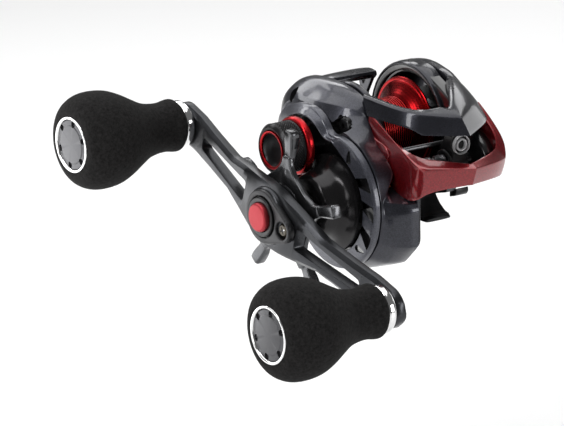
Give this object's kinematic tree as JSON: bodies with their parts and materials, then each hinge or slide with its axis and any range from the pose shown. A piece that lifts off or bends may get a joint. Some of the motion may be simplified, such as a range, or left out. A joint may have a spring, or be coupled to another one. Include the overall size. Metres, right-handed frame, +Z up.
{
  "type": "baitcasting reel",
  "caption": "Low-profile baitcasting fishing reel with a long double handle, foam knobs, star drag, red spool, level wind and red front cowl.",
  "frame": {"origin": "middle of the reel foot's flat underside, under the spool's axis", "axes": "X along the spool axis with the handle on the -X side, -Y to the front where the line leaves, +Z up from the rod"},
  "size_m": [0.1272, 0.151, 0.0733],
  "materials": {
    "frame_metal": "painted gloss metallic",
    "gunmetal_paint": "painted gloss metallic",
    "candy_red_paint": "painted gloss metallic",
    "red_anodised": "anodised",
    "black_metal": "black anodised satin",
    "black_plastic": "satin",
    "handle_alloy": "dark satin",
    "steel": "polished",
    "brass": "machined",
    "eva_foam": "matte foam",
    "grey_anodised": "satin",
    "grey_ceramic": "polished",
    "carbon_fibre": "matte"
  },
  "bodies": {
    "reel_body": {"frame": "frame_metal", "reel_foot": "black_metal", "foot_rivet_front": "steel", "foot_rivet_rear": "steel", "handle_side_cover": "gunmetal_paint", "drag_side_plate": "gunmetal_paint", "palm_side_cover": "gunmetal_paint", "palm_plate_latch": "black_metal", "spool_mouth_liner": "black_metal", "brake_magnet_ring": "steel", "palm_bearing": "steel", "spool_bearing": "steel", "hood": "gunmetal_paint", "front_cowl": "candy_red_paint", "guide_rod": "steel", "cap_base_ring": "red_anodised", "one_way_clutch": "steel", "drag_dome": "black_metal", "cover_screw_upper": "steel"},
    "crank": {"drive_shaft": "steel", "drive_gear": "brass", "level_wind_idler": "black_plastic", "drag_washer_inner": "carbon_fibre", "drag_plate_inner": "steel", "drag_washer_outer": "carbon_fibre", "drag_pressure_plate": "steel", "one_way_clutch_sleeve": "steel", "handle_arm": "handle_alloy", "handle_nut": "black_metal", "handle_nut_cap": "red_anodised", "nut_lock_plate": "grey_anodised", "lock_plate_screw": "steel", "front_knob_post": "steel", "rear_knob_post": "steel"},
    "front_knob_body": {"front_knob": "eva_foam", "front_knob_base_ring": "steel", "front_knob_end_cap": "grey_anodised", "front_knob_trim_ring": "steel"},
    "rear_knob_body": {"rear_knob": "eva_foam", "rear_knob_base_ring": "steel", "rear_knob_end_cap": "grey_anodised", "rear_knob_trim_ring": "steel"},
    "star": {"star_drag": "handle_alloy"},
    "cast_control": {"cast_control_cap": "black_metal", "cap_inset_ring": "red_anodised"},
    "spool_body": {"spool": "red_anodised", "spool_shaft": "steel", "brake_rotor": "black_metal"},
    "pinion": {"pinion_gear": "brass"},
    "clutch": {"clutch_yoke": "steel"},
    "clutch_bar": {"thumb_bar": "gunmetal_paint"},
    "worm": {"worm_shaft": "steel", "worm_gear": "brass"},
    "line_guide": {"line_guide_carriage": "black_plastic", "line_guide_ring": "grey_ceramic"},
    "brake_knob": {"brake_dial": "black_plastic"}
  },
  "joints": [
    {"name": "handle_turn", "type": "hinge", "parent": "reel_body", "child": "crank", "pos_m": [-0.05, -0.01363, 0.00593], "axis": [1, 0, 0], "continuous": true},
    {"name": "front_knob_spin", "type": "hinge", "parent": "crank", "child": "front_knob_body", "pos_m": [-0.075, -0.07215, -0.01129], "axis": [1, 0, 0], "continuous": true},
    {"name": "rear_knob_spin", "type": "hinge", "parent": "crank", "child": "rear_knob_body", "pos_m": [-0.075, 0.04489, 0.02315], "axis": [1, 0, 0], "continuous": true},
    {"name": "star_drag_turn", "type": "hinge", "parent": "crank", "child": "star", "pos_m": [-0.048, -0.01363, 0.00593], "axis": [1, 0, 0], "range_deg": [-150, 150]},
    {"name": "cast_control_turn", "type": "hinge", "parent": "reel_body", "child": "cast_control", "pos_m": [-0.04, 0, 0.0236], "axis": [1, 0, 0], "range_deg": [-170, 170]},
    {"name": "spool_spin", "type": "hinge", "parent": "reel_body", "child": "spool_body", "pos_m": [0, 0, 0.0236], "axis": [1, 0, 0], "continuous": true},
    {"name": "clutch_slide", "type": "slide", "parent": "reel_body", "child": "clutch", "axis": [-1, 0, 0], "range_m": [0, 0.0012]},
    {"name": "pinion_spin", "type": "hinge", "parent": "clutch", "child": "pinion", "pos_m": [-0.02, 0, 0.0236], "axis": [1, 0, 0], "continuous": true},
    {"name": "thumb_bar_press", "type": "slide", "parent": "reel_body", "child": "clutch_bar", "axis": [0, 0, -1], "range_m": [0, 0.004]},
    {"name": "worm_spin", "type": "hinge", "parent": "reel_body", "child": "worm", "pos_m": [0, -0.033, 0.019], "axis": [1, 0, 0], "continuous": true},
    {"name": "line_guide_slide", "type": "slide", "parent": "reel_body", "child": "line_guide", "axis": [1, 0, 0], "range_m": [-0.0148, 0.002]},
    {"name": "brake_dial_turn", "type": "hinge", "parent": "reel_body", "child": "brake_knob", "pos_m": [0.028, 0, 0.0236], "axis": [1, 0, 0], "range_deg": [-120, 120]}
  ],
  "couplings": [
    {"joint": "spool_spin", "follows": "handle_turn", "ratio": -6.3},
    {"joint": "pinion_spin", "follows": "handle_turn", "ratio": -6.3},
    {"joint": "worm_spin", "follows": "handle_turn", "ratio": -2.75},
    {"joint": "clutch_slide", "follows": "thumb_bar_press", "ratio": 0.3}
  ]
}
